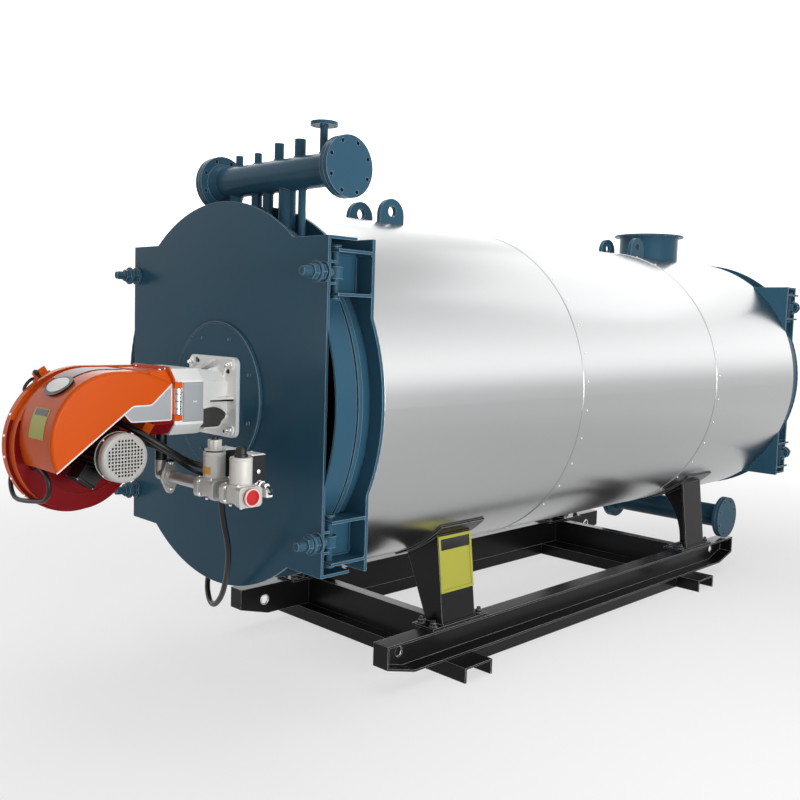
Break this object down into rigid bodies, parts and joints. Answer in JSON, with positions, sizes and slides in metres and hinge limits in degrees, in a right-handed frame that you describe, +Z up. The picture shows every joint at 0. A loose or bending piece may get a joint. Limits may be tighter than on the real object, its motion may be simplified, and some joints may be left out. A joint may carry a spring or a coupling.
{
  "type": "horizontal fire-tube boiler with a gas burner on a steel skid",
  "caption": "Horizontal cylindrical boiler in stainless cladding with hinged end doors, pipe headers, a side-motor gas burner with gas train and a saddle-and-skid base.",
  "frame": {"origin": "centre of the box round the whole boiler, at the height of the feet's undersides", "axes": "+Z up, the boiler's axis along Y with the burner towards -Y, +X to the right of someone facing the burner"},
  "size_m": [1.705, 5.4738, 2.51],
  "materials": {
    "black_plastic": "matt",
    "black_rubber": "matt",
    "burner_orange": "gloss",
    "cast_aluminium": "satin",
    "gloss_blue": "gloss",
    "grey_paint": "satin",
    "motor_black": "satin",
    "red_plastic": "gloss",
    "satin_black": "satin",
    "stainless": "brushed"
  },
  "bodies": {
    "root": {"burner_box": "grey_paint", "burner_cover": "burner_orange", "burner_flange": "cast_aluminium", "burner_hinge": "grey_paint", "burner_lower_panel": "grey_paint", "burner_mounting_disc": "gloss_blue", "cable_glands": "black_plastic", "cladding_front": "stainless", "cladding_middle": "stainless", "cladding_rear": "stainless", "clamp_nuts": "gloss_blue", "drum_gland": "black_plastic", "fan_housing": "burner_orange", "fan_motor": "motor_black", "flanged_riser": "gloss_blue", "flue_outlet": "gloss_blue", "front_collar_plate": "gloss_blue", "front_crossbeam": "satin_black", "front_door": "gloss_blue", "front_door_drum": "gloss_blue", "front_foot": "satin_black", "front_hinge_brackets": "gloss_blue", "front_left_saddle": "satin_black", "front_lifting_lugs": "gloss_blue", "front_right_saddle": "satin_black", "gas_outlet_plug": "red_plastic", "gas_pipe": "cast_aluminium", "gas_solenoids": "cast_aluminium", "gas_switch_box": "black_plastic", "gas_valves": "cast_aluminium", "hanging_conduit": "black_rubber", "header_legs": "gloss_blue", "header_stubs": "gloss_blue", "hinge_pins": "gloss_blue", "left_rail": "satin_black", "left_runner": "satin_black", "loop_conduit": "black_rubber", "lower_header": "gloss_blue", "lower_header_blinds": "gloss_blue", "lower_valve_conduit": "black_rubber", "motor_fan_cover": "cast_aluminium", "pressure_shell": "gloss_blue", "rear_collar_plate": "gloss_blue", "rear_crossbeam": "satin_black", "rear_door": "gloss_blue", "rear_door_drum": "gloss_blue", "rear_foot": "satin_black", "rear_hinge_brackets": "gloss_blue", "rear_left_saddle": "satin_black", "rear_lifting_lugs": "gloss_blue", "rear_right_saddle": "satin_black", "right_rail": "satin_black", "right_runner": "satin_black", "swing_bolts": "gloss_blue", "upper_header": "gloss_blue", "upper_header_blinds": "gloss_blue", "upper_valve_conduit": "black_rubber"}
  },
  "joints": []
}
